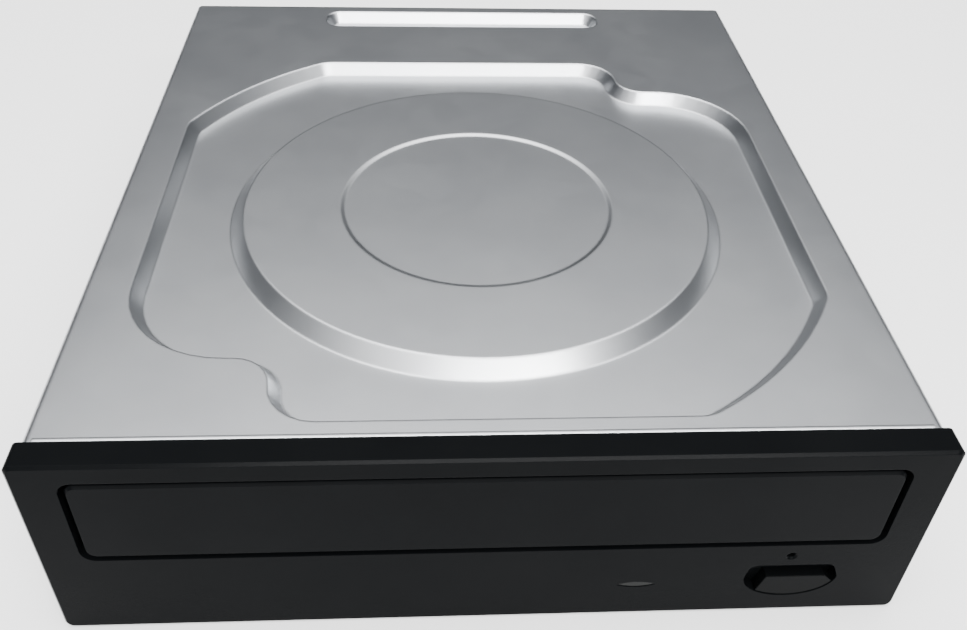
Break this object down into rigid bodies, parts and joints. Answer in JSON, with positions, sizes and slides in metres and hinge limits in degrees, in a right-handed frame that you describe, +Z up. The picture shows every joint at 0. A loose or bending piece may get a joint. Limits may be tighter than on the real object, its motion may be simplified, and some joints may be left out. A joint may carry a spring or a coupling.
{
  "type": "internal disc writer",
  "caption": "Half-height internal disc writer with pressed steel cover, black front panel, sliding tray, eject button and working loading, lift, spindle and pickup drives.",
  "frame": {"origin": "middle of the front panel's base plane, under the middle of the drive", "axes": "+X to the right seen from the front, the front faces -Y, +Z up"},
  "size_m": [0.1482, 0.1674, 0.042],
  "materials": {
    "cover_steel": "satin zinc-plated sheet steel",
    "front_abs": "fine-textured black ABS",
    "frame_abs": "moulded black ABS",
    "tray_abs": "moulded dark grey ABS",
    "acetal": "natural acetal",
    "steel": "turned or pressed steel",
    "rubber": "moulded rubber",
    "board": "green solder resist on glass-epoxy",
    "chip": "moulded chip package",
    "alloy": "die-cast zinc alloy",
    "lens": "coated lens",
    "lamp": "smoked light guide",
    "ribbon": "flat flexible cable"
  },
  "bodies": {
    "chassis": {"top_cover": "cover_steel", "bottom_cover": "cover_steel", "front_bezel": "front_abs", "led_lens": "lamp", "main_frame": "frame_abs", "loading_motor": "steel", "drive_belt": "rubber", "clamp_bridge": "cover_steel", "bridge_screws": "steel", "main_board": "board", "board_chips": "chip", "board_sockets": "acetal", "data_power_socket": "frame_abs", "front_board": "board", "eject_switch": "steel", "led_lamp": "lamp", "front_ribbon": "ribbon", "cover_screws": "steel", "board_screws": "steel"},
    "tray": {"disc_tray": "tray_abs", "tray_door": "front_abs"},
    "button": {"eject_button": "front_abs"},
    "motor_pulley_body": {"motor_pulley": "acetal"},
    "pulley_gear_body": {"pulley_gear": "acetal"},
    "middle_gear_body": {"middle_gear": "acetal"},
    "drive_gear_body": {"drive_gear": "acetal"},
    "slider": {"cam_slider": "acetal"},
    "deck": {"lift_frame": "frame_abs", "deck_plate": "cover_steel", "deck_dampers": "rubber", "deck_screws": "steel", "spindle_base": "steel", "guide_rods": "steel", "rod_clamps": "frame_abs", "sled_motor": "steel"},
    "spindle": {"spindle_rotor": "steel", "turntable": "frame_abs", "turntable_pad": "rubber"},
    "screw": {"lead_screw": "steel"},
    "pickup": {"pickup_sled": "alloy", "lens_actuator": "steel"},
    "lens": {"objective_lens": "lens"},
    "clamp": {"clamper": "acetal", "clamper_magnet": "steel", "clamper_cap": "acetal"}
  },
  "joints": [
    {"name": "tray_slide", "type": "slide", "parent": "chassis", "child": "tray", "axis": [0, -1, 0], "range_m": [0, 0.136]},
    {"name": "eject_press", "type": "slide", "parent": "chassis", "child": "button", "axis": [0, 1, 0], "range_m": [0, 0.0005], "stiffness_N_per_m": 600, "springref_m": -0.0004},
    {"name": "motor_pulley_spin", "type": "hinge", "parent": "chassis", "child": "motor_pulley_body", "pos_m": [-0.01558, -0.06165, 0.015], "axis": [0, 0, 1], "continuous": true},
    {"name": "pulley_gear_spin", "type": "hinge", "parent": "chassis", "child": "pulley_gear_body", "pos_m": [0.0114, -0.06265, 0.012], "axis": [0, 0, 1], "continuous": true},
    {"name": "middle_gear_spin", "type": "hinge", "parent": "chassis", "child": "middle_gear_body", "pos_m": [0.02865, -0.05915, 0.012], "axis": [0, 0, 1], "continuous": true},
    {"name": "drive_gear_spin", "type": "hinge", "parent": "chassis", "child": "drive_gear_body", "pos_m": [0.043, -0.06415, 0.014], "axis": [0, 0, 1], "continuous": true},
    {"name": "deck_lift", "type": "hinge", "parent": "chassis", "child": "deck", "pos_m": [0, 0.05835, 0.0175], "axis": [-1, 0, 0], "range_deg": [0, 6.3]},
    {"name": "slider_slide", "type": "slide", "parent": "chassis", "child": "slider", "axis": [-1, 0, 0], "range_m": [0, 0.0171]},
    {"name": "spindle_spin", "type": "hinge", "parent": "deck", "child": "spindle", "pos_m": [0, -0.01289, 0.01215], "axis": [0, -0.1097, 0.994], "continuous": true},
    {"name": "pickup_slide", "type": "slide", "parent": "deck", "child": "pickup", "axis": [0, 0.994, 0.1097], "range_m": [0, 0.035]},
    {"name": "screw_spin", "type": "hinge", "parent": "deck", "child": "screw", "pos_m": [-0.034, 0.0167, 0.012], "axis": [0, 0.994, 0.1097], "continuous": true},
    {"name": "lens_focus", "type": "slide", "parent": "pickup", "child": "lens", "axis": [0, -0.1097, 0.994], "range_m": [-0.0004, 0.0004], "stiffness_N_per_m": 60},
    {"name": "clamp_spin", "type": "hinge", "parent": "chassis", "child": "clamp", "pos_m": [0, -0.01305, 0.03], "axis": [0, 0, 1], "continuous": true}
  ],
  "couplings": [
    {"joint": "drive_gear_spin", "follows": "tray_slide", "rad_per_m": -125},
    {"joint": "middle_gear_spin", "follows": "tray_slide", "rad_per_m": 214.29},
    {"joint": "pulley_gear_spin", "follows": "tray_slide", "rad_per_m": -459.18},
    {"joint": "motor_pulley_spin", "follows": "tray_slide", "rad_per_m": -1660.1},
    {"joint": "slider_slide", "follows": "deck_lift", "m_per_rad": 0.15461},
    {"joint": "screw_spin", "follows": "pickup_slide", "rad_per_m": 2094.4}
  ]
}
